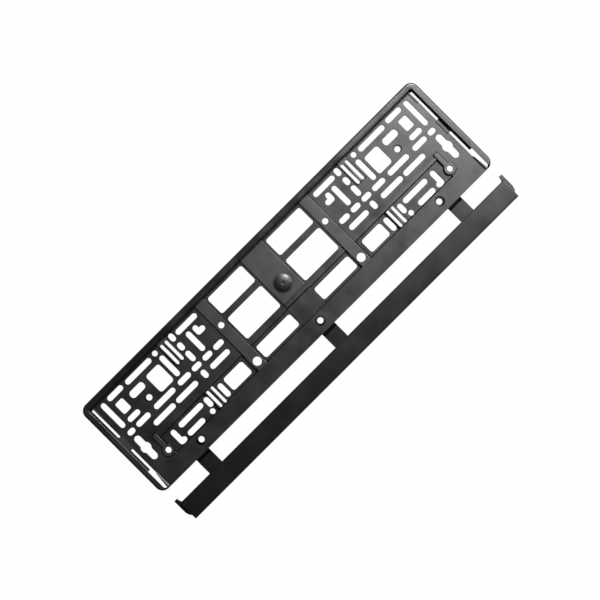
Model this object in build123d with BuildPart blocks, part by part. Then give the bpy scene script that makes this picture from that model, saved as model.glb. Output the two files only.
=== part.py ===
"""Number plate holder, moulded in black polypropylene, lying on its back.

A base frame takes a flat plate from the front. A retaining strip hangs on three webs below it.
Thin films join the webs to the base's lower edge and to the strip, so the strip can fold up
over the plate's lower edge and catch behind the side rims.

X runs along the plate, +Y points to the top rim, +Z to the front. The origin is the centre
of the base frame's back plane. All sizes are in millimetres.
"""

import os
from math import asin, atan, degrees, radians, tan

from build123d import *

# The plate that the holder takes
plate_length = 520.0
plate_height = 110.0
plate_play_across = 0.3
plate_play_upright = 0.5

# Outline and rims of the base frame
rim_face = 8.2
top_wall = 2.0
side_wall = 1.8
inner_wall = 1.5
band_height = 22.0
corner_radius = 10.0
rim_round = 3.0
lip_end_drop = 30.0

# Levels above the back plane
sheet = 2.0
panel_back = 1.4
support_rise = 1.2
plate_step = 1.0
plate_slot = 2.8
lip = 1.9
ledge_drop = 0.5
pad_foot_rise = 0.4
raised_draft = 40.0

# Slits beside the side rims, and the wide gaps for the strip's hooks
slit = 3.3
slit_top_inset = 2.0
bridge_top = 59.0
bridge_low = 39.0
gap_floor = 2.0
gap_lean = 2.0
edge_rib_width = 1.8
edge_rib_length = 16.0
ramp_width = 1.6
ramp_rise = 1.4

# Raised zones of the panel
pad_width = 35.6
pad_foot_line = 13.3
post_width = 15.2
post_inset = 165.0
ledge_low = 26.9
ledge_turn = 31.6
ledge_high = 33.9
boss_leg = 7.2
clip_width = 15.0
clip_inset = 110.5
clip_foot = 70.0
back_wall = 1.6

# Windows beside the centre pad, as heights above the step under the plate
window_rows = [(4.2, 21.6), (34.8, 68.0), (76.0, 100.4)]
window_margin = 2.1
window_corner = 3.0

# Slots of the hole panels: inset from the panel's side edge, height above the step, length
slot_width = 6.7
slot_end_flats = 6
slots_across = [
    (145.0, 97.0, 32.5),
    (67.5, 97.5, 40.5),
    (31.0, 98.5, 23.5),
    (28.0, 65.0, 18.0),
    (154.5, 54.0, 14.5),
    (136.5, 54.0, 13.5),
    (119.0, 54.0, 13.5),
    (99.0, 54.0, 19.0),
    (67.0, 54.0, 32.5),
    (32.5, 54.0, 21.0),
    (13.0, 54.0, 10.5),
    (144.0, 41.0, 29.5),
    (90.5, 41.0, 33.5),
    (54.0, 41.0, 33.5),
    (74.5, 19.0, 37.5),
    (69.5, 5.0, 26.0),
]
slots_upright = [
    (138.5, 75.5, 29.0),
    (122.5, 97.5, 10.5),
    (122.5, 83.0, 10.5),
    (122.5, 67.5, 14.5),
    (97.5, 76.5, 31.0),
    (11.0, 82.0, 37.5),
    (119.5, 41.5, 11.0),
    (122.0, 12.5, 19.0),
    (99.5, 15.5, 13.5),
]
plain_holes = [(95.5, 98.5), (95.5, 4.5)]

# Windows of the hole panels: inset, height, width, height of the window, corner radius
panel_windows = [
    (79.5, 74.5, 21.2, 26.2, 3.5),
    (51.5, 83.0, 21.2, 9.2, 4.0),
    (27.0, 81.5, 11.9, 15.9, 2.3),
    (144.5, 13.0, 30.4, 18.4, 3.3),
]

# Angled slots: inset and height of the corner, length of the upright leg and of the foot
angle_slots = [(149.0, 80.5, 12.5, 12.5), (46.0, 4.8, 21.0, 10.5)]
angle_slot_width = 6.8

# Keyhole slot beside the side rim
keyhole_inset = 12.0
keyhole_height = 29.3
keyhole_width = 8.5
keyhole_length = 35.0
keyhole_eye = 12.8

# Spring clip slits and the bowed bar between them
clip_slit = 3.8
clip_bar = 3.4
clip_bar_thick = 1.5
clip_bar_bow = 1.5
upper_clip = (70.5, 100.5)
lower_clip = (0.8, 25.6)

# Screw holes: inset or place, height above the step
screw_hole = 7.3
post_hole_height = 67.5
post_foot_hole = 10.6
post_foot_height = 9.0
cup_inset = 55.0
cup_height = 67.5
cup_width = 10.2
cup_floor = 1.0
cup_wall = 1.6
boss_inset = 28.5
boss_height = 9.0
boss_width = 15.6
band_hole_drop = 9.2
band_hole_place = 193.5
seat_width = 12.0
seat_depth = 4.4
seat_wall = 2.2

# Dome that presses on the plate's back
dome_width = 24.4
dome_rise = 3.0
dome_height = 51.6
dome_wall = 1.5
dimple_width = 7.0
dimple_depth = 0.8

# Webs and their films
web_width = 20.0
web_place = 204.0
web_thick = 1.4
web_below_band = 0.1
film = 0.5
edge_film_length = 4.2
strip_film_length = 3.0

# Retaining strip
strip_drop = 21.6
strip_width = 25.3
strip_wall = 1.5
strip_front_wall = 1.6
strip_crown = 0.2
strip_bevel_width = 1.2
strip_bevel_drop = 0.8
strip_far_round = 2.0
strip_near_wall = 1.2
strip_near_drop = 1.3
strip_web_gap = 0.2
strip_end_play = 0.5
strip_wrap_play = 0.3
notch_play = 1.0
notch_height = 4.6

# Hooks at the strip's ends
end_wall = 1.7
hook_catch = 3.6
hook_width = 4.4
hook_thick = 2.0
hook_drop = 0.4
hook_play = 0.3
hook_straight = 2.4
hook_side = 10.5
hook_heel = 20.1

# Places and levels that follow from the sizes above
inner_x = plate_length / 2 + plate_play_across
half_length = inner_x + rim_face
base_height = top_wall + plate_height + 2 * plate_play_upright + band_height
half_height = base_height / 2
step_y = band_height - half_height
lip_edge_y = half_height - rim_face
top_inside_y = half_height - top_wall
low_inside_y = side_wall - half_height
lip_face_x = inner_x + inner_wall
side_inside_x = half_length - side_wall
edge_x = inner_x - slit
lip_end_y = lip_end_drop - half_height
panel_front = panel_back + sheet
support_front = panel_front + support_rise
band_front = support_front + plate_step
band_back = band_front - sheet
lip_under = support_front + plate_slot
rim_front = lip_under + lip
pocket_front = sheet
raised_run = support_rise * tan(radians(raised_draft))
pocket_run = (panel_front - pocket_front) * tan(radians(raised_draft))
seat_angle = 2 * degrees(atan((seat_width - screw_hole) / 2 / seat_depth))
cup_angle = 2 * degrees(atan((cup_width - screw_hole) / 2 / (panel_front - cup_floor)))
web_front = band_front - web_below_band
web_back = web_front - web_thick
web_x = [-web_place, 0.0, web_place]
web_start_y = -half_height - edge_film_length
strip_inner = web_front + strip_web_gap
strip_front = strip_inner + strip_front_wall
strip_near_y = -half_height - strip_drop
strip_far_y = strip_near_y - strip_width
end_x = lip_face_x - strip_end_play
cut_over = 1.0

# Lines that the films bend on, so that the closed strip wraps the base's lower edge
closed_shift = -half_height - strip_wrap_play - strip_wall - strip_far_y
edge_line_y = -half_height - edge_film_length / 2
strip_line_y = edge_line_y - closed_shift / 2
web_end_y = strip_line_y + strip_film_length / 2
hook_tip_y = lip_end_y - hook_play - closed_shift


def at(inset, height):
    """Place on the right hole panel: inset from its side edge, height above the step."""
    return (edge_x - inset, step_y + height)


def rectangle(x_low, x_high, y_low, y_high):
    """Rectangle in the current sketch, given by its four sides."""
    with Locations(((x_low + x_high) / 2, (y_low + y_high) / 2)):
        Rectangle(x_high - x_low, y_high - y_low)


def slot(x, y, length, width, turn=0):
    """Slot, turned by an angle. Its round ends have a few flats each, because there are so many."""
    run = (length - width) / 2
    with Locations(Location((x, y, 0), (0, 0, turn))):
        Rectangle(2 * run, width)
        with Locations((-run, 0), (run, 0)):
            RegularPolygon(width / 2, 2 * slot_end_flats)


def angle_slot(inset, height, leg, foot):
    """Slot with an upright leg at the outer side and a foot towards the middle."""
    corner_x, corner_y = at(inset, height)
    half = angle_slot_width / 2
    slot(corner_x, corner_y + leg / 2 - half, leg, angle_slot_width, 90)
    slot(corner_x - foot / 2 + half, corner_y, foot, angle_slot_width)


def dome_section(sphere, half_width, floor):
    """Half section of the dome's cap, on a sphere about the dome's centre."""
    half_angle = degrees(asin(half_width / sphere))
    with BuildSketch(dome_plane) as section:
        with BuildLine():
            cap = CenterArc((0, dome_rise - dome_sphere), sphere, 90 - half_angle, half_angle)
            Polyline(cap @ 0, (half_width, floor), (0, floor), cap @ 1)
        make_face()
    return section.sketch


def ledge_section(level):
    """Section of the shallow groove above the ledge, cut down from a level."""
    with BuildSketch(Plane.YZ) as section:
        with BuildLine():
            Polyline(
                (ledge_high_y, level),
                (ledge_turn_y, level - ledge_drop),
                (ledge_low_y, level),
                close=True,
            )
        make_face()
    return section.sketch


def clip_bar_section(x, low, high, level, closing):
    """Section to cut away between two clip slits, from a bowed line to a closing level."""
    with BuildSketch(Plane.YZ.offset(x - clip_bar / 2 - cut_over)) as section:
        with BuildLine():
            ThreePointArc((low, level), ((low + high) / 2, level - clip_bar_bow), (high, level))
            Polyline((high, level), (high, closing), (low, closing), (low, level))
        make_face()
    return section.sketch


screw_places = [(0.0, step_y - band_hole_drop)]
cup_places = []
cup_x, cup_y = at(cup_inset, cup_height)
for side in (-1, 1):
    screw_places.append((side * band_hole_place, step_y - band_hole_drop))
    cup_places.append((side * cup_x, cup_y))
boss_x, boss_y = at(boss_inset, boss_height)
post_out_x = edge_x - post_inset
post_in_x = post_out_x - post_width
post_x = (post_out_x + post_in_x) / 2
clip_x = edge_x - clip_inset
ledge_low_y = step_y + ledge_low
ledge_turn_y = step_y + ledge_turn
ledge_high_y = step_y + ledge_high
dome_y = step_y + dome_height
dome_plane = Plane((0, dome_y, support_front), x_dir=(1, 0, 0), z_dir=(0, -1, 0))
dome_axis = Axis((0, dome_y, 0), (0, 0, 1))
dome_sphere = ((dome_width / 2) ** 2 + dome_rise**2) / (2 * dome_rise)
dimple_sphere = ((dimple_width / 2) ** 2 + dimple_depth**2) / (2 * dimple_depth)

# Base frame
with BuildPart() as base_frame:
    # Block of the whole outline, with its front edge rounded
    with BuildSketch():
        RectangleRounded(2 * half_length, base_height, corner_radius)
    extrude(amount=rim_front)
    fillet(base_frame.faces().sort_by(Axis.Z)[-1].edges(), rim_round)

    # Hollow of the back, inside the skirt
    with BuildSketch():
        rectangle(-edge_x, edge_x, step_y - sheet, top_inside_y)
    extrude(amount=panel_back, mode=Mode.SUBTRACT)
    with BuildSketch():
        rectangle(-edge_x, edge_x, low_inside_y, step_y - sheet)
    extrude(amount=band_back, mode=Mode.SUBTRACT)

    # Space for the plate, and the slot under the top lip
    with BuildSketch(Plane.XY.offset(panel_front)):
        rectangle(-inner_x, inner_x, step_y, lip_edge_y)
    extrude(amount=rim_front, mode=Mode.SUBTRACT)
    with BuildSketch(Plane.XY.offset(panel_front)):
        rectangle(-inner_x, inner_x, lip_edge_y, top_inside_y)
    extrude(amount=lip_under - panel_front, mode=Mode.SUBTRACT)

    # Front of the lower band
    with BuildSketch(Plane.XY.offset(band_front)):
        rectangle(-lip_face_x, lip_face_x, -half_height - cut_over, step_y)
    extrude(amount=rim_front, mode=Mode.SUBTRACT)

    # Channels behind the side rims
    with BuildSketch():
        RectangleRounded(2 * side_inside_x, base_height - 2 * side_wall, corner_radius - side_wall)
        Rectangle(2 * lip_face_x, base_height, mode=Mode.SUBTRACT)
    extrude(amount=lip_under, mode=Mode.SUBTRACT)

    # Ramps at the band's ends
    with BuildSketch(Plane.XZ.offset(-step_y)):
        with BuildLine():
            Polyline(
                (edge_x - ramp_width, band_front),
                (edge_x + gap_lean, band_front),
                (edge_x + gap_lean, band_front + ramp_rise),
                (edge_x, band_front + ramp_rise),
                close=True,
            )
        make_face()
        mirror(about=Plane.YZ)
    extrude(amount=band_height - gap_floor)

    # Groove across the panel, which rises again to the ledge
    extrude(ledge_section(panel_front), amount=boss_x, both=True, mode=Mode.SUBTRACT)

    # Pockets below the ledge, with sloped sides and let down to the back plane
    with BuildSketch(Plane.XY.offset(pocket_front)):
        rectangle(
            post_out_x + pocket_run,
            boss_x - boss_leg / 2 - pocket_run,
            step_y + pocket_run,
            ledge_low_y - pocket_run,
        )
        mirror(about=Plane.YZ)
        rectangle(
            pocket_run - post_in_x,
            post_in_x - pocket_run,
            step_y + pocket_run,
            ledge_low_y - pocket_run,
        )
    extrude(amount=panel_front - pocket_front, taper=-raised_draft, mode=Mode.SUBTRACT)
    with BuildSketch():
        rectangle(post_out_x, boss_x - boss_leg / 2, step_y - sheet, ledge_low_y)
        mirror(about=Plane.YZ)
        rectangle(-post_in_x, post_in_x, step_y - sheet, ledge_low_y)
    extrude(amount=panel_back)

    # Raised zones with sloped sides: posts, centre pad, clip pads, and bosses with their legs
    with BuildSketch(Plane.XY.offset(panel_back)) as raised:
        rectangle(post_in_x, post_out_x, step_y - raised_run, top_inside_y + raised_run)
        rectangle(boss_x - boss_leg / 2, boss_x + boss_leg / 2, boss_y, ledge_high_y)
        with Locations((boss_x, boss_y)):
            Circle(boss_width / 2)
        for low, high in ((clip_foot, base_height - top_wall - band_height), (0, ledge_low)):
            rectangle(clip_x - clip_width / 2, clip_x + clip_width / 2, step_y + low, step_y + high)
        mirror(about=Plane.YZ)
        rectangle(-pad_width / 2, pad_width / 2, ledge_low_y, top_inside_y + raised_run)
    extrude(amount=panel_front - panel_back)
    upper = raised.sketch.moved(Location((0, 0, panel_front - panel_back)))
    extrude(upper, amount=support_rise, taper=raised_draft)

    # Edge ribs and bridges beside the slits
    with BuildSketch(Plane.XY.offset(panel_back)):
        rectangle(edge_x - edge_rib_width, edge_x, lip_edge_y - edge_rib_length, lip_edge_y)
        rectangle(edge_x - edge_rib_width, inner_x, step_y + bridge_low, step_y + bridge_top)
        mirror(about=Plane.YZ)
    extrude(amount=support_front - panel_back)

    # Groove across the centre pad, and the pad's low foot in two steps
    extrude(ledge_section(support_front), amount=pad_width / 2, both=True, mode=Mode.SUBTRACT)
    for low, rise in ((0, pad_foot_rise), (pad_foot_line, 2 * pad_foot_rise)):
        with BuildSketch(Plane.XY.offset(panel_back)):
            rectangle(-pad_width / 2, pad_width / 2, step_y + low, ledge_low_y)
        extrude(amount=pocket_front + rise - panel_back)

    # Hollows behind the posts and the pad, so that the wall stays even
    with BuildSketch(Plane.XY.offset(panel_back)):
        rectangle(post_in_x + back_wall, post_out_x - back_wall, ledge_high_y, lip_edge_y)
        mirror(about=Plane.YZ)
        rectangle(back_wall - pad_width / 2, pad_width / 2 - back_wall, ledge_high_y, lip_edge_y)
    extrude(amount=support_rise, mode=Mode.SUBTRACT)

    # Standoffs behind the sunk screw holes of the band and the panel, down to the back plane
    with BuildSketch():
        with Locations(*screw_places):
            Circle(seat_width / 2 + seat_wall)
    extrude(amount=band_back)
    with BuildSketch():
        with Locations(*cup_places):
            Circle(cup_width / 2 + cup_wall)
    extrude(amount=panel_back)

    # Dome with its dimple, hollow behind
    revolve(dome_section(dome_sphere, dome_width / 2, -support_rise), axis=dome_axis)
    revolve(
        dome_section(dome_sphere - dome_wall, dome_width / 2 - dome_wall, -support_front),
        axis=dome_axis,
        mode=Mode.SUBTRACT,
    )
    with Locations((0, dome_y, support_front + dome_rise - dimple_depth + dimple_sphere)):
        Sphere(dimple_sphere, mode=Mode.SUBTRACT)

    # Slits and gaps beside the side rims
    with BuildSketch():
        rectangle(edge_x, inner_x, step_y + bridge_top, lip_edge_y - slit_top_inset)
        rectangle(edge_x, inner_x, lip_end_y, step_y + bridge_low)
        with BuildLine():
            Polyline(
                (edge_x, lip_end_y),
                (edge_x, step_y),
                (edge_x + gap_lean, gap_floor - half_height),
                (lip_face_x, gap_floor - half_height),
                (lip_face_x, lip_end_y),
                close=True,
            )
        make_face()
        mirror(about=Plane.YZ)
    extrude(amount=rim_front + cut_over, mode=Mode.SUBTRACT)

    # Holes, slots and windows through the panel
    with BuildSketch():
        for inset, height, length in slots_across:
            slot(*at(inset, height), length, slot_width)
        for inset, height, length in slots_upright:
            slot(*at(inset, height), length, slot_width, 90)
        for inset, height in plain_holes:
            with Locations(at(inset, height)):
                Circle(slot_width / 2)
        for inset, height, across, upright, corner in panel_windows:
            with Locations(at(inset, height)):
                RectangleRounded(across, upright, corner)
        for inset, height, leg, foot in angle_slots:
            angle_slot(inset, height, leg, foot)
        with Locations(at(keyhole_inset, keyhole_height)):
            SlotOverall(keyhole_length, keyhole_width, rotation=90)
            Circle(keyhole_eye / 2)
        for low, high in window_rows:
            width = post_in_x - pad_width / 2 - 2 * window_margin
            with Locations(((post_in_x + pad_width / 2) / 2, step_y + (low + high) / 2)):
                RectangleRounded(width, high - low, window_corner)
        for low, high in (upper_clip, lower_clip):
            for turn in (-1, 1):
                slit_x = clip_x + turn * (clip_bar + clip_slit) / 2
                slot(slit_x, step_y + (low + high) / 2, high - low, clip_slit, 90)
        with Locations((boss_x, boss_y), (post_x, step_y + post_hole_height)):
            Circle(screw_hole / 2)
        with Locations((post_x, step_y + post_foot_height)):
            Circle(post_foot_hole / 2)
        mirror(about=Plane.YZ)
    extrude(amount=rim_front, mode=Mode.SUBTRACT)

    # Bars between the clip slits, bowed back between their ends
    bar_levels = (
        (support_front, support_front + cut_over),
        (support_front - clip_bar_thick, panel_back - cut_over),
    )
    for low, high in (upper_clip, lower_clip):
        bar_low = step_y + low + clip_slit / 2
        bar_high = step_y + high - clip_slit / 2
        for side in (-1, 1):
            for level, closing in bar_levels:
                cut = clip_bar_section(side * clip_x, bar_low, bar_high, level, closing)
                extrude(cut, amount=clip_bar + 2 * cut_over, mode=Mode.SUBTRACT)

    # Screw holes of the lower band and the panel, with funnels that lead to them
    for x, y in screw_places:
        with Locations((x, y, band_front)):
            CounterSinkHole(screw_hole / 2, seat_width / 2, counter_sink_angle=seat_angle)
    for x, y in cup_places:
        with Locations((x, y, panel_front)):
            CounterSinkHole(screw_hole / 2, cup_width / 2, counter_sink_angle=cup_angle)

base_frame.part.label = "base_frame"

# Webs
with BuildPart() as hinge_webs:
    with BuildSketch(Plane.XY.offset(web_back)):
        for x in web_x:
            rectangle(x - web_width / 2, x + web_width / 2, web_end_y, web_start_y)
    extrude(amount=web_thick)

hinge_webs.part.label = "hinge_webs"

# Films between the base's lower edge and the webs
with BuildPart() as edge_films:
    with BuildSketch(Plane.XY.offset(web_back)):
        for x in web_x:
            rectangle(x - web_width / 2, x + web_width / 2, web_start_y, -half_height)
    extrude(amount=film)

edge_films.part.label = "edge_films"

# Films between the webs and the inside of the strip
with BuildPart() as strip_films:
    with BuildSketch(Plane.XY.offset(strip_inner - film)):
        for x in web_x:
            rectangle(x - web_width / 2, x + web_width / 2, web_end_y - strip_film_length, web_end_y)
    extrude(amount=film)

strip_films.part.label = "strip_films"

# Retaining strip
with BuildPart() as retaining_strip:
    # Channel section, open to the back, with a crowned front and a bevelled near edge
    with BuildSketch(Plane.YZ):
        with BuildLine():
            near = Polyline(
                (strip_near_y, strip_inner - strip_near_drop),
                (strip_near_y, strip_front - strip_bevel_drop),
                (strip_near_y - strip_bevel_width, strip_front),
            )
            shoulder_y = strip_far_y + strip_far_round
            crown_y = (strip_near_y - strip_bevel_width + shoulder_y) / 2
            crown = ThreePointArc(near @ 1, (crown_y, strip_front + strip_crown), (shoulder_y, strip_front))
            far = RadiusArc(crown @ 1, (strip_far_y, strip_front - strip_far_round), -strip_far_round)
            Polyline(
                far @ 1,
                (strip_far_y, 0),
                (strip_far_y + strip_wall, 0),
                (strip_far_y + strip_wall, strip_inner),
                (strip_near_y - strip_near_wall, strip_inner),
                (strip_near_y - strip_near_wall, strip_inner - strip_near_drop),
                near @ 0,
            )
        make_face()
    extrude(amount=end_x, both=True)

    # End walls, which stand in the base's wide gaps when the strip is closed
    with BuildSketch():
        rectangle(end_x - end_wall, end_x, strip_near_y - hook_heel, strip_near_y)
        mirror(about=Plane.YZ)
    extrude(amount=strip_inner)

    # Hooks, which catch behind the side rims
    with BuildSketch(Plane.XY.offset(strip_inner - hook_drop - hook_thick)):
        with BuildLine():
            hook_x = lip_face_x + hook_catch
            tip = Polyline(
                (end_x - end_wall, strip_near_y),
                (hook_x - hook_width, hook_tip_y - hook_straight),
                (hook_x - hook_width, hook_tip_y),
                (hook_x, hook_tip_y),
                (hook_x, strip_near_y - hook_side),
            )
            heel = TangentArc(tip @ 1, (end_x, strip_near_y - hook_heel), tangent=(0, -1))
            Polyline(heel @ 1, (end_x - end_wall, strip_near_y - hook_heel), tip @ 0)
        make_face()
        mirror(about=Plane.YZ)
    extrude(amount=hook_thick)

    # Notches for the webs in the near wall, and for the folded films in the far wall
    with BuildSketch():
        for x in web_x:
            half_notch = web_width / 2 + notch_play
            rectangle(x - half_notch, x + half_notch, strip_near_y - strip_near_wall, strip_near_y)
    extrude(amount=strip_inner, mode=Mode.SUBTRACT)
    with BuildSketch():
        for x in web_x:
            half_notch = web_width / 2 + notch_play
            rectangle(x - half_notch, x + half_notch, strip_far_y, strip_far_y + strip_wall)
    extrude(amount=notch_height, mode=Mode.SUBTRACT)

retaining_strip.part.label = "retaining_strip"

os.makedirs("parts", exist_ok=True)
for node in (base_frame, hinge_webs, edge_films, strip_films, retaining_strip):
    export_step(node.part, f"parts/{node.part.label}.step")
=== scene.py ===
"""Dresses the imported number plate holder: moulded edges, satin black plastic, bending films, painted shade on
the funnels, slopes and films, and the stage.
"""

from math import cos, inf, radians

import bmesh
import bpy
import numpy as np
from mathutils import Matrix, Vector


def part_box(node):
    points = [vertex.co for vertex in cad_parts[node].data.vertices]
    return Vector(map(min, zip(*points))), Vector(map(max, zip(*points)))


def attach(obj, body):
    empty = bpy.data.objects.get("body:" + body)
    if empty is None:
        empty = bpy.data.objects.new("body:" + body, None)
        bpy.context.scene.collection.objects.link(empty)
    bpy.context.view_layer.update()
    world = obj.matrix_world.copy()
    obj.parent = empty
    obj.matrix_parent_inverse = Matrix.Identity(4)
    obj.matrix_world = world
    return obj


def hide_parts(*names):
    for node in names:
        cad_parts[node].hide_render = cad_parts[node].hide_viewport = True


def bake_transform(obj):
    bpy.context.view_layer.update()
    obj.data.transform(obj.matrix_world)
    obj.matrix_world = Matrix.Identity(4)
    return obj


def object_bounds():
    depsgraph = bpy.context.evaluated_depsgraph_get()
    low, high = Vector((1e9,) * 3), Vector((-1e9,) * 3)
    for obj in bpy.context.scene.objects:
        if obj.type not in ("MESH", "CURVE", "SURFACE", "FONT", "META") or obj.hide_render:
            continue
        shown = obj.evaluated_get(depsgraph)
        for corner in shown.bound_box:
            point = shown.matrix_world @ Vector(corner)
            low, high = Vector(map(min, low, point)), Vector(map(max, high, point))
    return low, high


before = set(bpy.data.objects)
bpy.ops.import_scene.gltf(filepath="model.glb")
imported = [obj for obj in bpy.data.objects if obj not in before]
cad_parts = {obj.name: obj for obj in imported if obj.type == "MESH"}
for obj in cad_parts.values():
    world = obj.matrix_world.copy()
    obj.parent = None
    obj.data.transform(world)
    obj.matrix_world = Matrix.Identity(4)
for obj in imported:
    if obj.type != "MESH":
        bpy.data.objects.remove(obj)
cad_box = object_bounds()

bl_info = {
    "name": "Number Plate Holder",
    "version": (1, 0, 0),
    "blender": (4, 5, 0),
    "location": "View3D > Sidebar > Plate Holder",
    "description": "Dresses a moulded number plate holder and sets its stage",
    "category": "Object",
}

# Corners this close are merged, edges that turn less are dissolved, and faces this parallel are one flat
WELD = 1e-6
FLAT_ANGLE = radians(0.5)
SAME_FLAT = 0.99999

# Lengths too short to count, along an edge and away from it
NO_OVERLAP = 1e-8
NO_RUN = 1e-6

# Upward part of the normals of level faces and of funnels, when edges are chosen for rounding
LEVEL_UP = 0.7
FUNNEL_UP = (0.3, 0.6)

# Room that each rounding needs, in times its size, and size of the slight rounding where there is little room
RIM_ROOM = 1.4
FULL_ROOM = 2.5
SLIGHT_SIZE = 0.3
SLIGHT_ROOM = 0.8

# Noise of the grain and the patches, strength of the grain's bumps, and range of the patches that is bloom
GRAIN_DETAIL, GRAIN_ROUGHNESS = 2.0, 0.5
PATCH_DETAIL, PATCH_ROUGHNESS = 5.0, 0.6
GRAIN_STRENGTH = 0.08
BLOOM_RANGE = (0.42, 0.72)

# Upward part of the normals of upper faces, and of slopes with its spread, in the masks of the plastic; the
# slopes get painted shade
UPPER_RANGE = (0.92, 0.985)
SLOPE_UP, SLOPE_SPREAD = 0.55, 0.13

# Distance that a support's face may be off its level
LEVEL_PLAY = 0.00008

# Share of the bloom in dry patches and on matt faces
DRY_SHARE = 0.4
MATT_SHARE = 0.6

# Index of refraction of the plastic
REFRACTION = 1.5

# Colour that the painted shade on funnels and slopes darkens towards
PAINTED_SHADE_BLACK = (0.0, 0.0, 0.0, 1.0)
WHITE = (1.0, 1.0, 1.0, 1.0)

# Sockets of a Mix node for each kind of value: first, second and result
MIX_SOCKETS = {"FLOAT": (2, 3, 0), "RGBA": (6, 7, 2)}

# Lamps: setting of the power, place, aim and width
LAMPS = {
    "key_light": ("key_power", (0.72, 0.38, 0.77), (0.0, 0.0, 0.0), 0.26),
    "side_light": ("side_power", (0.76, -0.18, 0.58), (0.0, -0.05, 0.0), 0.3),
    "fill_light": ("fill_power", (0.0, 0.0, 2.0), (0.0, 0.0, 0.0), 2.0),
}

# Floor: half its width, its finish, and how white the camera sees it, and gloss over a range of distances
FLOOR_REACH = 6.0
FLOOR_COLOUR = (0.35, 0.35, 0.35, 1.0)
FLOOR_ROUGHNESS = 0.9
SEEN_SHARE = 0.99
GLOSS_SHARE = 0.14
GLOSS_RANGE = (0.02, 0.3)

# Distance from which on the camera sees
NEAREST_VIEW = 0.01


class PlasticSettings(bpy.types.PropertyGroup):
    """Finish of the moulded plastic, with painted shade on its funnels and slopes"""

    colour: bpy.props.FloatVectorProperty(
        name="Colour", description="Colour of the plastic", subtype="COLOR", size=3,
        min=0.0, max=1.0, default=(0.0065, 0.0065, 0.0068))
    bloom: bpy.props.FloatVectorProperty(
        name="Bloom", description="Colour of the matt inner faces and the drier patches",
        subtype="COLOR", size=3, min=0.0, max=1.0, default=(0.0162, 0.0162, 0.0167))
    # A lighter tone on the upward faces at the supports' level
    support_tone: bpy.props.FloatVectorProperty(
        name="Support Tone", description="Colour of the supports that the plate rubs on", subtype="COLOR", size=3,
        min=0.0, max=1.0, default=(0.035, 0.035, 0.0357))
    support_level: bpy.props.FloatProperty(
        name="Support Level", description="Height of the supports' faces above the back plane", unit="LENGTH",
        min=0.0, max=0.1, default=0.0046)
    inner_level: bpy.props.FloatProperty(
        name="Inner Level", description="Height that the matt inner faces stay below", unit="LENGTH",
        min=0.0, max=0.1, default=0.0082)
    end_place: bpy.props.FloatProperty(
        name="End Place", description="Distance from the middle beyond which all upper faces are matt",
        unit="LENGTH", min=0.0, max=1.0, default=0.26)
    slope_level: bpy.props.FloatProperty(
        name="Slope Level", description="Height that funnels and the slopes of steps stay below",
        unit="LENGTH", min=0.0, max=0.1, default=0.006)
    # Painted shade: funnels and the slopes of steps are mixed towards black by this share
    slope_painted_shade: bpy.props.FloatProperty(
        name="Slope Painted Shade", description="How much darker funnels and slopes are", subtype="FACTOR",
        min=0.0, max=1.0, default=0.88)
    slope_roughness: bpy.props.FloatProperty(
        name="Slope Roughness", description="Roughness of the polished funnels and slopes", subtype="FACTOR",
        min=0.0, max=1.0, default=0.16)
    roughness: bpy.props.FloatProperty(
        name="Roughness", description="Mean roughness of the polished outer faces", subtype="FACTOR",
        min=0.0, max=1.0, default=0.37)
    inner_roughness: bpy.props.FloatProperty(
        name="Inner Roughness", description="Roughness that the matt inner faces have more", subtype="FACTOR",
        min=0.0, max=1.0, default=0.1)
    unevenness: bpy.props.FloatProperty(
        name="Unevenness", description="How far the roughness strays from patch to patch", subtype="FACTOR",
        min=0.0, max=1.0, default=0.1)
    inner_unevenness: bpy.props.FloatProperty(
        name="Inner Unevenness", description="How much further it strays on a piece with matt faces",
        subtype="FACTOR", min=0.0, max=1.0, default=0.18)
    shine: bpy.props.FloatProperty(
        name="Shine", description="Strength of the plastic's reflections", subtype="FACTOR",
        min=0.0, max=1.0, default=0.9)
    patch_size: bpy.props.FloatProperty(
        name="Patch Size", description="Size of one patch of tone and gloss", unit="LENGTH",
        min=0.001, max=0.5, default=0.028)
    grain_size: bpy.props.FloatProperty(
        name="Grain Size", description="Size of one bump of the moulded grain", unit="LENGTH",
        min=0.00005, max=0.01, default=0.0006)
    grain_depth: bpy.props.FloatProperty(
        name="Grain Depth", description="Depth of the moulded grain", unit="LENGTH",
        min=0.0, max=0.001, default=0.000008)


class EdgeSettings(bpy.types.PropertyGroup):
    """Rounding of the moulded edges"""

    frame_round: bpy.props.FloatProperty(
        name="Frame Edges", description="Rounding of the base frame's sharp edges", unit="LENGTH",
        min=0.0, max=0.001, default=0.0004)
    rim_round: bpy.props.FloatProperty(
        name="Rim Edges", description="Rounding of the rim's front edges", unit="LENGTH",
        min=0.0, max=0.003, default=0.0013)
    rim_level: bpy.props.FloatProperty(
        name="Rim Level", description="Height that the rim's front edges lie above", unit="LENGTH",
        min=0.0, max=0.1, default=0.009)
    strip_round: bpy.props.FloatProperty(
        name="Strip Edges", description="Rounding of the strip's sharp edges", unit="LENGTH",
        min=0.0, max=0.001, default=0.0004)
    web_round: bpy.props.FloatProperty(
        name="Web Edges", description="Rounding of the webs' sharp edges", unit="LENGTH",
        min=0.0, max=0.001, default=0.0003)
    steps: bpy.props.IntProperty(
        name="Steps", description="Faces across each rounding", min=1, max=6, default=2)
    sharp_angle: bpy.props.FloatProperty(
        name="Sharp Angle", description="Edges that turn more than this are rounded",
        subtype="ANGLE", min=0.0, max=3.14, default=radians(42))
    blend_angle: bpy.props.FloatProperty(
        name="Blend Angle", description="Faces that turn less than this are shaded as one",
        subtype="ANGLE", min=0.0, max=3.14, default=radians(32))


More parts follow.
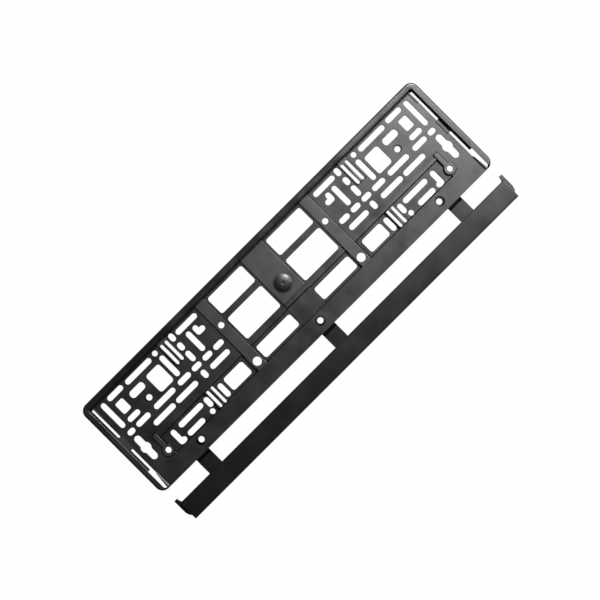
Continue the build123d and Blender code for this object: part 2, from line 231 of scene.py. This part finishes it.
class FilmSettings(bpy.types.PropertyGroup):
    """Thin films that the strip folds on, darkened by painted shade"""

    rows: bpy.props.IntProperty(
        name="Rows", description="Faces along each film, so that it bends smoothly",
        min=2, max=32, default=12)
    hollow: bpy.props.FloatProperty(
        name="Hollow", description="How much thinner a film is in its middle", unit="LENGTH",
        min=0.0, max=0.0004, default=0.0002)
    roughness: bpy.props.FloatProperty(
        name="Roughness", description="Roughness of the films' dull face", subtype="FACTOR",
        min=0.0, max=1.0, default=0.75)
    shine: bpy.props.FloatProperty(
        name="Shine", description="Strength of the films' reflections", subtype="FACTOR",
        min=0.0, max=1.0, default=0.04)
    # Painted shade: the films' tone is cut to this share of the plastic's, standing in for the shade in their
    # recess
    tone_after_painted_shade: bpy.props.FloatProperty(
        name="Tone After Painted Shade", description="Tone of the films as a share of the plastic's", subtype="FACTOR",
        min=0.0, max=1.0, default=0.3)


class StageSettings(bpy.types.PropertyGroup):
    """Camera, light and floor"""

    camera_height: bpy.props.FloatProperty(
        name="Camera Height", description="Height of the camera above the rim", unit="LENGTH",
        min=0.1, max=10.0, default=1.0)
    camera_place: bpy.props.FloatProperty(
        name="Camera Place", description="Place of the camera from the rim's middle towards the rim's top",
        unit="LENGTH", min=-1.0, max=1.0, default=-0.0215)
    camera_turn: bpy.props.FloatProperty(
        name="Camera Turn", description="Turn of the camera about its line of sight",
        subtype="ANGLE", min=-3.15, max=3.15, default=radians(-45))
    field: bpy.props.FloatProperty(
        name="Field", description="Width that the camera sees at the rim", unit="LENGTH",
        min=0.1, max=10.0, default=0.6852)
    key_power: bpy.props.FloatProperty(
        name="Key Light", description="Power of the compact soft light", unit="POWER",
        min=0.0, max=1000.0, default=17.0)
    side_power: bpy.props.FloatProperty(
        name="Side Light", description="Power of the weaker light at the right end", unit="POWER",
        min=0.0, max=1000.0, default=4.2)
    fill_power: bpy.props.FloatProperty(
        name="Fill Light", description="Power of the soft light overhead", unit="POWER",
        min=0.0, max=1000.0, default=0.55)
    ambient: bpy.props.FloatProperty(
        name="Ambient", description="Strength of the light from all round", min=0.0, max=2.0, default=0.017)


def wire(tree, value, socket):
    """Links another node's output to a socket, or sets the socket to a plain value."""
    if isinstance(value, bpy.types.NodeSocket):
        tree.links.new(value, socket)
    else:
        socket.default_value = value


def maths(tree, operation, *values):
    """Result of a Math node."""
    node = tree.nodes.new("ShaderNodeMath")
    node.operation = operation
    for value, socket in zip(values, node.inputs):
        wire(tree, value, socket)
    return node.outputs["Value"]


def ramp(tree, value, start_end, low=0.0, high=1.0):
    """Value that runs from low to high between a start and an end."""
    node = tree.nodes.new("ShaderNodeMapRange")
    wire(tree, value, node.inputs["Value"])
    node.inputs["From Min"].default_value, node.inputs["From Max"].default_value = start_end
    node.inputs["To Min"].default_value = low
    node.inputs["To Max"].default_value = high
    return node.outputs["Result"]


def mix(tree, kind, share, first, second):
    """Mix of two numbers or two colours."""
    node = tree.nodes.new("ShaderNodeMix")
    node.data_type = kind
    first_socket, second_socket, result = MIX_SOCKETS[kind]
    wire(tree, share, node.inputs[0])
    wire(tree, first, node.inputs[first_socket])
    wire(tree, second, node.inputs[second_socket])
    return node.outputs[result]


def noise(tree, place, scale, detail, roughness):
    """Noise over a piece's own coordinates."""
    node = tree.nodes.new("ShaderNodeTexNoise")
    for name, value in (("Vector", place), ("Scale", scale), ("Detail", detail), ("Roughness", roughness)):
        wire(tree, value, node.inputs[name])
    return node.outputs["Fac"]


def axes(tree, vector):
    """Parts of a vector along the axes."""
    node = tree.nodes.new("ShaderNodeSeparateXYZ")
    tree.links.new(vector, node.inputs["Vector"])
    return node.outputs


def new_group(name, inputs, outputs):
    """Node group of plain numbers, with the sockets that it is given and those that it puts out."""
    group = bpy.data.node_groups.new(name, "ShaderNodeTree")
    for socket in inputs:
        group.interface.new_socket(socket, in_out="INPUT", socket_type="NodeSocketFloat")
    for socket in outputs:
        group.interface.new_socket(socket, in_out="OUTPUT", socket_type="NodeSocketFloat")
    return group, group.nodes.new("NodeGroupInput").outputs, group.nodes.new("NodeGroupOutput").inputs


def use_group(tree, group, values):
    """Outputs of a node group placed with its own values."""
    node = tree.nodes.new("ShaderNodeGroup")
    node.node_tree = group
    for name, value in values.items():
        node.inputs[name].default_value = value
    return node.outputs


def grain_group():
    """Node group: fine moulded grain, with slow mottling of tone and gloss."""
    name = "moulded_grain"
    if name in bpy.data.node_groups:
        return bpy.data.node_groups[name]
    group, given, result = new_group(
        name, ("Grain Scale", "Patch Scale", "Roughness", "Unevenness"), ("Height", "Bloom", "Roughness"))
    place = group.nodes.new("ShaderNodeTexCoord").outputs["Object"]
    grain = noise(group, place, given["Grain Scale"], GRAIN_DETAIL, GRAIN_ROUGHNESS)
    patch = noise(group, place, given["Patch Scale"], PATCH_DETAIL, PATCH_ROUGHNESS)
    stray = ramp(group, patch, (0.0, 1.0), low=-1.0)
    roughness = maths(group, "MULTIPLY_ADD", stray, given["Unevenness"], given["Roughness"])
    group.links.new(grain, result["Height"])
    group.links.new(ramp(group, patch, BLOOM_RANGE), result["Bloom"])
    group.links.new(roughness, result["Roughness"])
    return group


def level_group():
    """Node group: masks of the supports, of the matt inner and end faces, and of funnels and slopes, which get
    painted shade.
    """
    group, given, result = new_group(
        "level_faces", ("Support Level", "Inner Level", "End Place", "Slope Level"),
        ("Support", "Inner", "Slope"))
    coordinates = group.nodes.new("ShaderNodeTexCoord").outputs
    place, facing = axes(group, coordinates["Object"]), axes(group, coordinates["Normal"])
    upper = ramp(group, facing["Z"], UPPER_RANGE)
    support = maths(group, "COMPARE", place["Z"], given["Support Level"], LEVEL_PLAY)
    below = maths(group, "LESS_THAN", place["Z"], given["Inner Level"])
    beyond = maths(group, "GREATER_THAN", maths(group, "ABSOLUTE", place["X"]), given["End Place"])
    inner = maths(group, "MAXIMUM", below, beyond)
    sloping = maths(group, "COMPARE", facing["Z"], SLOPE_UP, SLOPE_SPREAD)
    lower = maths(group, "LESS_THAN", place["Z"], given["Slope Level"])
    masks = {"Support": (support, upper), "Inner": (inner, upper), "Slope": (sloping, lower)}
    for name, both in masks.items():
        group.links.new(maths(group, "MULTIPLY", *both), result[name])
    return group


def matt_faces_and_painted_shade(tree, dryness, roughness, tones):
    """Tone and roughness with matt inner faces, a lighter tone on the supports, and polished funnels and slopes
    darkened by painted shade.
    """
    look = bpy.context.scene.plate_holder_plastic
    masks = use_group(tree, level_group(), {
        "Support Level": look.support_level, "Inner Level": look.inner_level,
        "End Place": look.end_place, "Slope Level": look.slope_level})
    tone = mix(tree, "RGBA", maths(tree, "MULTIPLY_ADD", masks["Inner"], MATT_SHARE, dryness), *tones)
    # Upward faces at the supports' level get a lighter tone
    tone = mix(tree, "RGBA", masks["Support"], tone, (*look.support_tone, 1.0))
    # Painted shade: funnels and the slopes of steps are darkened towards black
    tone = mix(tree, "RGBA", maths(tree, "MULTIPLY", masks["Slope"], look.slope_painted_shade), tone, PAINTED_SHADE_BLACK)
    roughness = maths(tree, "MULTIPLY_ADD", masks["Inner"], look.inner_roughness, roughness)
    return tone, mix(tree, "FLOAT", masks["Slope"], roughness, look.slope_roughness)


def plastic(name, roughness, shine, matt=False, tone_after_painted_shade=1.0):
    """Black moulded plastic with grain and patches, its tone cut down by painted shade where told, and with
    matt inner faces and painted shade on funnels and slopes where told.
    """
    if name in bpy.data.materials:
        return bpy.data.materials[name]
    look = bpy.context.scene.plate_holder_plastic
    material = bpy.data.materials.new(name)
    material.use_nodes = True
    tree = material.node_tree
    grain = use_group(tree, grain_group(), {
        "Grain Scale": 1 / look.grain_size, "Patch Scale": 1 / look.patch_size, "Roughness": roughness,
        "Unevenness": look.unevenness + matt * look.inner_unevenness})
    tones = [(*(tone_after_painted_shade * part for part in colour), 1.0) for colour in (look.colour, look.bloom)]
    dryness = maths(tree, "MULTIPLY", grain["Bloom"], DRY_SHARE)
    if matt:
        tone, finish = matt_faces_and_painted_shade(tree, dryness, grain["Roughness"], tones)
    else:
        tone, finish = mix(tree, "RGBA", dryness, *tones), grain["Roughness"]
    bump = tree.nodes.new("ShaderNodeBump")
    bump.inputs["Strength"].default_value = GRAIN_STRENGTH
    bump.inputs["Distance"].default_value = look.grain_depth
    tree.links.new(grain["Height"], bump.inputs["Height"])
    shader = tree.nodes["Principled BSDF"].inputs
    tree.links.new(tone, shader["Base Color"])
    tree.links.new(finish, shader["Roughness"])
    tree.links.new(bump.outputs["Normal"], shader["Normal"])
    shader["IOR"].default_value = REFRACTION
    shader["Specular IOR Level"].default_value = shine
    return material


def flats(mesh):
    """Groups of neighbouring faces that lie in one plane."""
    mesh.faces.index_update()
    seen = set()
    for first in mesh.faces:
        if first.index in seen:
            continue
        seen.add(first.index)
        flat = [first]
        for face in flat:
            for edge in face.edges:
                for other in edge.link_faces:
                    if other.index not in seen and other.normal.dot(face.normal) > SAME_FLAT:
                        seen.add(other.index)
                        flat.append(other)
        yield flat


def outline(flat):
    """Edges between a flat and the faces around it."""
    inside = set(flat)
    return [edge for face in flat for edge in face.edges if not inside.issuperset(edge.link_faces)]


def room(edge, outlines):
    """Least run from an edge to the next outline in front of it, over both its flats."""
    runs = []
    for corner in edge.link_loops:
        origin = corner.vert.co
        along = corner.link_loop_next.vert.co - origin
        length = along.length
        along.normalize()
        inward = corner.face.normal.cross(along)
        rim = outlines[corner.face.index] - np.array(origin)
        s, d = rim @ np.array(along), rim @ np.array(inward)
        low, high = np.clip(s.min(axis=1), 0, length), np.clip(s.max(axis=1), 0, length)
        beside = high - low > NO_OVERLAP
        s, d, low, high = s[beside], d[beside], low[beside], high[beside]
        slope = (d[:, 1] - d[:, 0]) / (s[:, 1] - s[:, 0])
        ahead = np.minimum(d[:, 0] + (low - s[:, 0]) * slope, d[:, 0] + (high - s[:, 0]) * slope)
        runs.append(min(ahead[ahead > NO_RUN], default=0.0))
    return min(runs)


def round_edges(mesh, round_by, least, steps, lowest=-inf):
    """Rounds the outer edges of level faces above a height that have the room, funnels left out."""
    sharp_angle = bpy.context.scene.plate_holder_edges.sharp_angle
    outlines = {}
    for flat in flats(mesh):
        rim = np.array([[vert.co[:] for vert in edge.verts] for edge in outline(flat)])
        outlines.update({face.index: rim for face in flat})
    sharp = []
    for edge in mesh.edges:
        if not edge.is_manifold or edge.calc_length() == 0 or edge.calc_face_angle_signed() <= sharp_angle:
            continue
        ups = [face.normal.z for face in edge.link_faces]
        level = max(abs(up) for up in ups) > LEVEL_UP
        funnel = any(FUNNEL_UP[0] < up < FUNNEL_UP[1] for up in ups)
        above = min(vert.co.z for vert in edge.verts) > lowest
        if level and above and not funnel and room(edge, outlines) > least:
            sharp.append(edge)
    bmesh.ops.bevel(
        mesh, geom=sharp, offset=round_by, offset_type="OFFSET", segments=steps, profile=0.5,
        affect="EDGES", clamp_overlap=False, material=-1)


def even_normals(data):
    """Corner normals led by the larger faces, so flats stay flat and roundings run smoothly into them."""
    limit = cos(bpy.context.scene.plate_holder_edges.blend_angle)
    faces = [(Vector(face.normal), face.area, list(face.vertices)) for face in data.polygons]
    around = [[] for _ in data.vertices]
    for index, (_, _, corners) in enumerate(faces):
        for vert in corners:
            around[vert].append(index)
    normals = []
    for normal, _, corners in faces:
        for vert in corners:
            total = Vector()
            for index in around[vert]:
                other, area, _ = faces[index]
                if normal.dot(other) > limit:
                    total += area * other
            normals.append(total.normalized())
    data.normals_split_custom_set(normals)


def node_copy(node):
    """Copy of a CAD node's mesh, with its triangles merged into flats."""
    mesh = bmesh.new()
    mesh.from_mesh(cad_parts[node].data)
    bmesh.ops.remove_doubles(mesh, verts=mesh.verts, dist=WELD)
    bmesh.ops.dissolve_limit(
        mesh, angle_limit=FLAT_ANGLE, verts=mesh.verts, edges=mesh.edges, use_dissolve_boundaries=False)
    return mesh


def shaded_piece(name, mesh):
    """New piece from a finished mesh, smoothly shaded."""
    for face in mesh.faces:
        face.smooth = True
    data = bpy.data.meshes.new(name)
    mesh.to_mesh(data)
    mesh.free()
    even_normals(data)
    piece = bpy.data.objects.new(name, data)
    bpy.context.scene.collection.objects.link(piece)
    return piece


def moulding(node, body, round_by):
    """Copy of a CAD node with its sharp edges rounded, standing for that node."""
    edges = bpy.context.scene.plate_holder_edges
    mesh = node_copy(node)
    round_edges(mesh, edges.rim_round, RIM_ROOM * edges.rim_round, edges.steps + 1, edges.rim_level)
    round_edges(mesh, round_by, FULL_ROOM * round_by, edges.steps)
    round_edges(mesh, SLIGHT_SIZE * round_by, SLIGHT_ROOM * round_by, edges.steps)
    piece = shaded_piece(node + "_moulding", mesh)
    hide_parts(node)
    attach(piece, body)
    return piece


def films(node):
    """Films of a CAD node, cut into rows and hollowed along the bend."""
    form = bpy.context.scene.plate_holder_films
    low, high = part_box(node)
    level, length = 0.5 * (low.z + high.z), high.y - low.y
    mesh = node_copy(node)
    along = [edge for edge in mesh.edges if abs(edge.verts[0].co.y - edge.verts[1].co.y) > 0.5 * length]
    bmesh.ops.subdivide_edges(mesh, edges=along, cuts=form.rows - 1, use_grid_fill=True)
    for vert in mesh.verts:
        if vert.co.z > level:
            away = 2 * (vert.co.y - low.y) / length - 1
            vert.co.z -= form.hollow * (1 - away * away)
    piece = shaded_piece(node + "_sheet", mesh)
    # The films' plastic carries painted shade
    piece.data.materials.append(
        plastic("dull_black_film", form.roughness, form.shine, tone_after_painted_shade=form.tone_after_painted_shade))
    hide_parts(node)
    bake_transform(piece)
    return piece


def white_floor():
    """Floor that takes shadow, and that the camera and the plastic's gloss see as white."""
    mesh = bmesh.new()
    bmesh.ops.create_grid(mesh, x_segments=1, y_segments=1, size=FLOOR_REACH)
    data = bpy.data.meshes.new("floor")
    mesh.to_mesh(data)
    mesh.free()
    floor = bpy.data.objects.new("floor", data)
    bpy.context.scene.collection.objects.link(floor)
    material = bpy.data.materials.new("white_floor")
    material.use_nodes = True
    tree = material.node_tree
    shader = tree.nodes["Principled BSDF"]
    shader.inputs["Base Color"].default_value = FLOOR_COLOUR
    shader.inputs["Roughness"].default_value = FLOOR_ROUGHNESS
    rays = tree.nodes.new("ShaderNodeLightPath").outputs
    seen = maths(tree, "MAXIMUM", rays["Is Camera Ray"], rays["Is Transmission Ray"])
    distant = ramp(tree, rays["Ray Length"], GLOSS_RANGE, high=GLOSS_SHARE)
    mirrored = maths(tree, "MULTIPLY_ADD", rays["Is Glossy Ray"], distant, seen)
    blend = tree.nodes.new("ShaderNodeMixShader")
    tree.links.new(maths(tree, "MINIMUM", mirrored, SEEN_SHARE), blend.inputs["Fac"])
    tree.links.new(shader.outputs["BSDF"], blend.inputs[1])
    tree.links.new(tree.nodes.new("ShaderNodeEmission").outputs["Emission"], blend.inputs[2])
    tree.links.new(blend.outputs["Shader"], tree.nodes["Material Output"].inputs["Surface"])
    data.materials.append(material)


def studio_world(ambient):
    """World that lights faintly from all round, and that the camera sees as white."""
    world = bpy.data.worlds.new("studio")
    bpy.context.scene.world = world
    world.use_nodes = True
    tree = world.node_tree
    soft = tree.nodes["Background"]
    soft.inputs["Color"].default_value = WHITE
    soft.inputs["Strength"].default_value = ambient
    white = tree.nodes.new("ShaderNodeBackground")
    white.inputs["Color"].default_value = WHITE
    rays = tree.nodes.new("ShaderNodeLightPath").outputs
    blend = tree.nodes.new("ShaderNodeMixShader")
    tree.links.new(rays["Is Camera Ray"], blend.inputs["Fac"])
    tree.links.new(soft.outputs["Background"], blend.inputs[1])
    tree.links.new(white.outputs["Background"], blend.inputs[2])
    tree.links.new(blend.outputs["Shader"], tree.nodes["World Output"].inputs["Surface"])


def soft_lamp(name, power, place, aim, width):
    """Square lamp that the camera doesn't see."""
    data = bpy.data.lights.new(name, "AREA")
    data.shape = "SQUARE"
    data.size = width
    data.energy = power
    lamp = bpy.data.objects.new(name, data)
    lamp.location = place
    lamp.rotation_mode = "QUATERNION"
    lamp.rotation_quaternion = (Vector(aim) - Vector(place)).to_track_quat("-Z", "Y")
    lamp.visible_camera = False
    bpy.context.scene.collection.objects.link(lamp)


def photo_camera(stage):
    """Camera straight above the holder, turned as the photograph is."""
    data = bpy.data.cameras.new("photo_camera")
    data.lens = data.sensor_width * stage.camera_height / stage.field
    data.clip_start = NEAREST_VIEW
    camera = bpy.data.objects.new("photo_camera", data)
    camera.location = (0.0, stage.camera_place, cad_box[1].z + stage.camera_height)
    camera.rotation_euler = (0.0, 0.0, stage.camera_turn)
    bpy.context.scene.collection.objects.link(camera)
    bpy.context.scene.camera = camera


class PLATEHOLDER_OT_base(bpy.types.Operator):
    """Rounds the base frame's edges and gives it its plastic, with painted shade on its funnels and slopes"""

    bl_idname = "plate_holder.base"
    bl_label = "Base Frame"

    def execute(self, context):
        look = context.scene.plate_holder_plastic
        piece = moulding("base_frame", "base", context.scene.plate_holder_edges.frame_round)
        # The base frame's plastic carries painted shade on its funnels and slopes
        piece.data.materials.append(plastic("matt_black_plastic", look.roughness, look.shine, matt=True))
        return {"FINISHED"}


class PLATEHOLDER_OT_strip(bpy.types.Operator):
    """Rounds the retaining strip's edges and gives it its plastic"""

    bl_idname = "plate_holder.strip"
    bl_label = "Retaining Strip"

    def execute(self, context):
        look = context.scene.plate_holder_plastic
        piece = moulding("retaining_strip", "strip", context.scene.plate_holder_edges.strip_round)
        piece.data.materials.append(plastic("polished_black_plastic", look.roughness, look.shine))
        return {"FINISHED"}


class PLATEHOLDER_OT_webs(bpy.types.Operator):
    """Rounds the webs' edges and gives them their plastic"""

    bl_idname = "plate_holder.webs"
    bl_label = "Webs"

    def execute(self, context):
        look = context.scene.plate_holder_plastic
        piece = moulding("hinge_webs", "webs", context.scene.plate_holder_edges.web_round)
        piece.data.materials.append(plastic("polished_black_plastic", look.roughness, look.shine))
        return {"FINISHED"}


class PLATEHOLDER_OT_films(bpy.types.Operator):
    """Makes the films that join the webs to the base and to the strip"""

    bl_idname = "plate_holder.films"
    bl_label = "Films"

    def execute(self, context):
        films("edge_films")
        films("strip_films")
        return {"FINISHED"}


class PLATEHOLDER_OT_stage(bpy.types.Operator):
    """Sets the floor, the light and the camera"""

    bl_idname = "plate_holder.stage"
    bl_label = "Stage"

    def execute(self, context):
        stage = context.scene.plate_holder_stage
        context.scene.view_settings.view_transform = "Standard"
        white_floor()
        studio_world(stage.ambient)
        for name, (power, place, aim, width) in LAMPS.items():
            soft_lamp(name, getattr(stage, power), place, aim, width)
        photo_camera(stage)
        return {"FINISHED"}


class PLATEHOLDER_PT_panel(bpy.types.Panel):
    """Lists the steps that dress the plate holder"""

    bl_idname = "PLATEHOLDER_PT_panel"
    bl_label = "Plate Holder"
    bl_space_type = "VIEW_3D"
    bl_region_type = "UI"
    bl_category = "Plate Holder"

    def draw(self, context):
        for step in STEPS:
            self.layout.operator(step.bl_idname)
        for group in GROUPS:
            values = getattr(context.scene, group)
            for name in values.__annotations__:
                self.layout.prop(values, name)


STEPS = (
    PLATEHOLDER_OT_base,
    PLATEHOLDER_OT_strip,
    PLATEHOLDER_OT_webs,
    PLATEHOLDER_OT_films,
    PLATEHOLDER_OT_stage,
)
GROUPS = {
    "plate_holder_plastic": PlasticSettings,
    "plate_holder_edges": EdgeSettings,
    "plate_holder_films": FilmSettings,
    "plate_holder_stage": StageSettings,
}


def register():
    for name, group in GROUPS.items():
        bpy.utils.register_class(group)
        setattr(bpy.types.Scene, name, bpy.props.PointerProperty(type=group))
    for step in STEPS:
        bpy.utils.register_class(step)
    bpy.utils.register_class(PLATEHOLDER_PT_panel)


def unregister():
    bpy.utils.unregister_class(PLATEHOLDER_PT_panel)
    for step in reversed(STEPS):
        bpy.utils.unregister_class(step)
    for name, group in GROUPS.items():
        delattr(bpy.types.Scene, name)
        bpy.utils.unregister_class(group)


def main():
    register()
    bpy.ops.plate_holder.base()
    bpy.ops.plate_holder.strip()
    bpy.ops.plate_holder.webs()
    bpy.ops.plate_holder.films()
    bpy.ops.plate_holder.stage()


if __name__ == "__main__":
    main()
